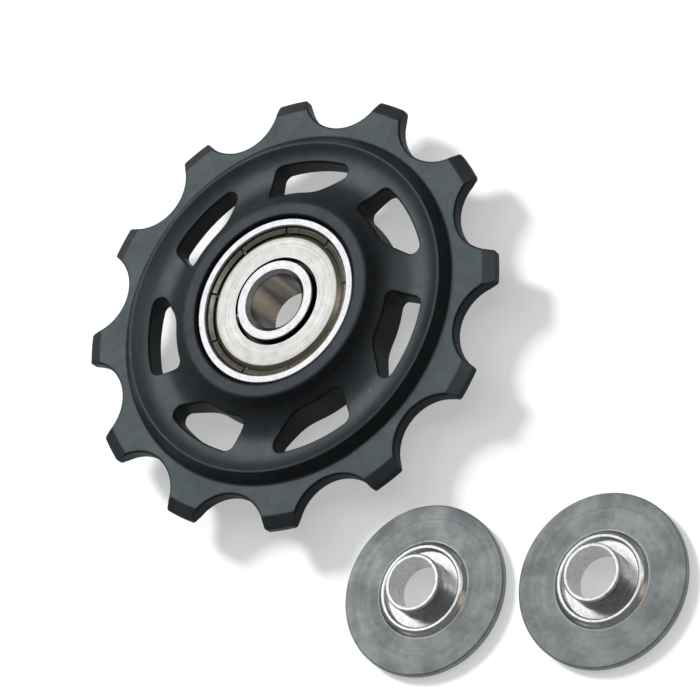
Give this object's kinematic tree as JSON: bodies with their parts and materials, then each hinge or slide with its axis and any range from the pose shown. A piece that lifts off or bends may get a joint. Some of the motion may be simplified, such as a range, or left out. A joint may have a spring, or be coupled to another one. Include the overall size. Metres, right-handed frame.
{
  "type": "derailleur jockey wheel",
  "caption": "Toothed chain guide wheel with raised ring, slanting slots and dished web round a shielded ball bearing, its spigoted dust caps lying beside it.",
  "frame": {"origin": "centre of the bearing on the wheel's axis, midway between its faces", "axes": "+Z along the wheel's axis, out of the front face that the picture shows; +X through the middle of a tooth; the wheel lies flat with its rear boss face and the caps on one plane"},
  "size_m": [0.0673, 0.0671, 0.0066],
  "materials": {
    "wheel_resin": "satin moulded",
    "bearing_steel": "ground",
    "shield_steel": "bright pressed sheet",
    "cage_steel": "pressed sheet",
    "ball_steel": "polished",
    "cap_metal": "matte turned"
  },
  "bodies": {
    "hub": {"bearing_inner_ring": "bearing_steel", "front_dust_cap": "cap_metal", "rear_dust_cap": "cap_metal"},
    "wheel": {"toothed_wheel": "wheel_resin", "bearing_outer_ring": "bearing_steel", "front_shield": "shield_steel", "rear_shield": "shield_steel"},
    "cage": {"cage_front_half": "cage_steel", "cage_rear_half": "cage_steel", "cage_rivet_1": "cage_steel", "cage_rivet_2": "cage_steel", "cage_rivet_3": "cage_steel", "cage_rivet_4": "cage_steel", "cage_rivet_5": "cage_steel", "cage_rivet_6": "cage_steel"},
    "ball_1_body": {"ball_1": "ball_steel"},
    "ball_2_body": {"ball_2": "ball_steel"},
    "ball_3_body": {"ball_3": "ball_steel"},
    "ball_4_body": {"ball_4": "ball_steel"},
    "ball_5_body": {"ball_5": "ball_steel"},
    "ball_6_body": {"ball_6": "ball_steel"}
  },
  "joints": [
    {"name": "wheel_spin", "type": "hinge", "parent": "hub", "child": "wheel", "pos_m": [0, 0, 0], "axis": [0, 0, 1], "continuous": true},
    {"name": "cage_orbit", "type": "hinge", "parent": "hub", "child": "cage", "pos_m": [0, 0, 0], "axis": [0, 0, 1], "continuous": true},
    {"name": "ball_1_roll", "type": "hinge", "parent": "cage", "child": "ball_1_body", "pos_m": [0.00625, 0, 0], "axis": [0, 0, 1], "continuous": true},
    {"name": "ball_2_roll", "type": "hinge", "parent": "cage", "child": "ball_2_body", "pos_m": [0.00313, 0.00541, 0], "axis": [0, 0, 1], "continuous": true},
    {"name": "ball_3_roll", "type": "hinge", "parent": "cage", "child": "ball_3_body", "pos_m": [-0.00313, 0.00541, 0], "axis": [0, 0, 1], "continuous": true},
    {"name": "ball_4_roll", "type": "hinge", "parent": "cage", "child": "ball_4_body", "pos_m": [-0.00625, 0, 0], "axis": [0, 0, 1], "continuous": true},
    {"name": "ball_5_roll", "type": "hinge", "parent": "cage", "child": "ball_5_body", "pos_m": [-0.00313, -0.00541, 0], "axis": [0, 0, 1], "continuous": true},
    {"name": "ball_6_roll", "type": "hinge", "parent": "cage", "child": "ball_6_body", "pos_m": [0.00313, -0.00541, 0], "axis": [0, 0, 1], "continuous": true}
  ],
  "couplings": [
    {"joint": "cage_orbit", "follows": "wheel_spin", "ratio": 0.64},
    {"joint": "ball_1_roll", "follows": "wheel_spin", "ratio": 1.6457},
    {"joint": "ball_2_roll", "follows": "wheel_spin", "ratio": 1.6457},
    {"joint": "ball_3_roll", "follows": "wheel_spin", "ratio": 1.6457},
    {"joint": "ball_4_roll", "follows": "wheel_spin", "ratio": 1.6457},
    {"joint": "ball_5_roll", "follows": "wheel_spin", "ratio": 1.6457},
    {"joint": "ball_6_roll", "follows": "wheel_spin", "ratio": 1.6457}
  ]
}
